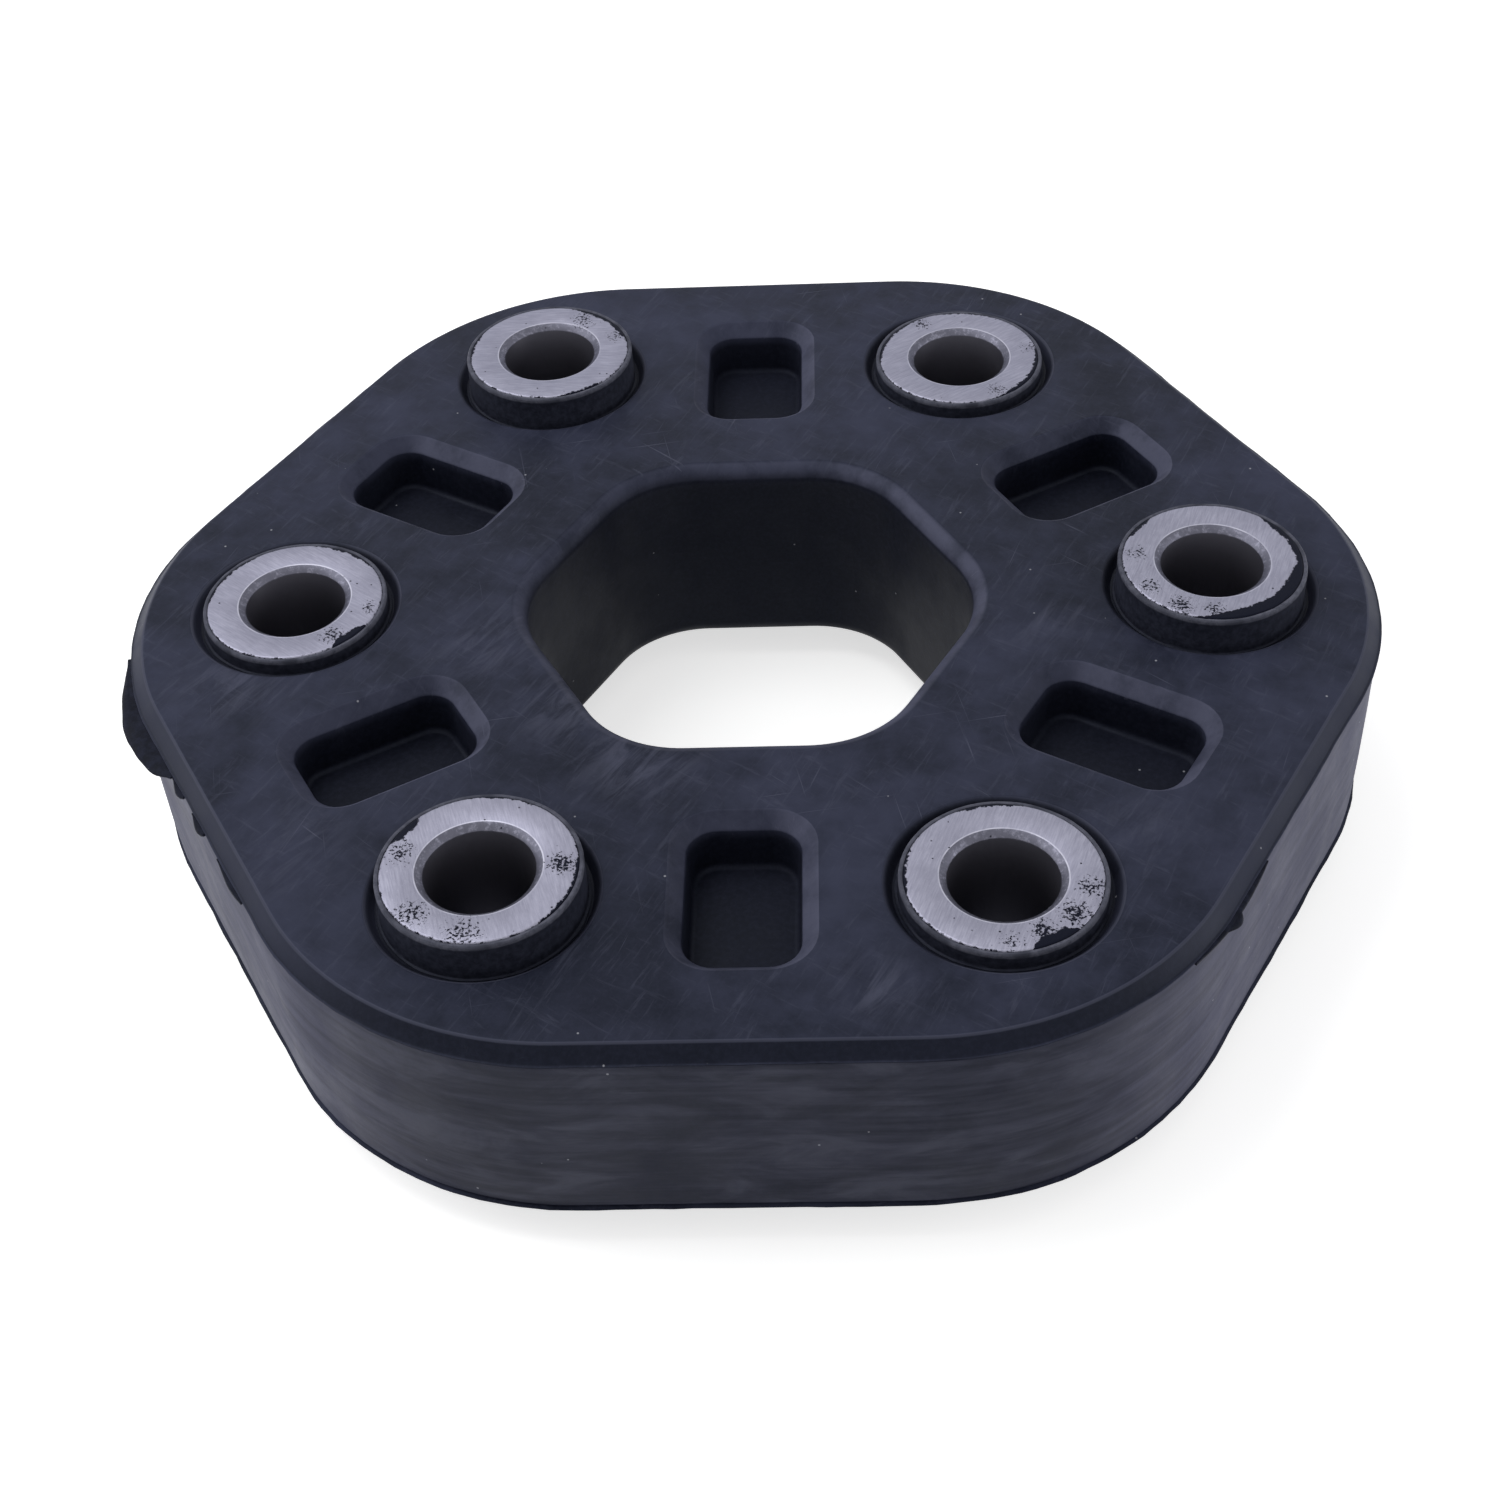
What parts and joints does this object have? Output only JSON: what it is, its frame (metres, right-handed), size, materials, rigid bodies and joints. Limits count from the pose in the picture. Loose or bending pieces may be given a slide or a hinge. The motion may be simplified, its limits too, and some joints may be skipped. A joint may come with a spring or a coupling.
{
  "type": "driveshaft flex disc",
  "caption": "Hexagonal rubber driveshaft flex disc with steel bolt sleeves proud on alternate faces, blind pockets between them and a hexagonal centre opening.",
  "frame": {"origin": "on the disc's axis, at the height of the lowest sleeve end faces", "axes": "+Z along the disc's axis towards the face seen in the picture, +X through the sleeve at the picture's right"},
  "size_m": [0.1502, 0.1404, 0.0352],
  "materials": {
    "rubber": "satin, chalky and scuffed",
    "ground_steel": "ground end faces, smeared with black residue",
    "collar_steel": "plain pressed steel, moulded in",
    "cord": "wound polyester cord, moulded in"
  },
  "bodies": {
    "root": {"rubber_body": "rubber", "steel_sleeve_000": "ground_steel", "steel_sleeve_060": "ground_steel", "steel_sleeve_120": "ground_steel", "steel_sleeve_180": "ground_steel", "steel_sleeve_240": "ground_steel", "steel_sleeve_300": "ground_steel", "spool_collar_lower_000": "collar_steel", "spool_collar_lower_060": "collar_steel", "spool_collar_lower_120": "collar_steel", "spool_collar_lower_180": "collar_steel", "spool_collar_lower_240": "collar_steel", "spool_collar_lower_300": "collar_steel", "spool_collar_upper_000": "collar_steel", "spool_collar_upper_060": "collar_steel", "spool_collar_upper_120": "collar_steel", "spool_collar_upper_180": "collar_steel", "spool_collar_upper_240": "collar_steel", "spool_collar_upper_300": "collar_steel", "cord_loop_030": "cord", "cord_loop_090": "cord", "cord_loop_150": "cord", "cord_loop_210": "cord", "cord_loop_270": "cord", "cord_loop_330": "cord"}
  },
  "joints": []
}
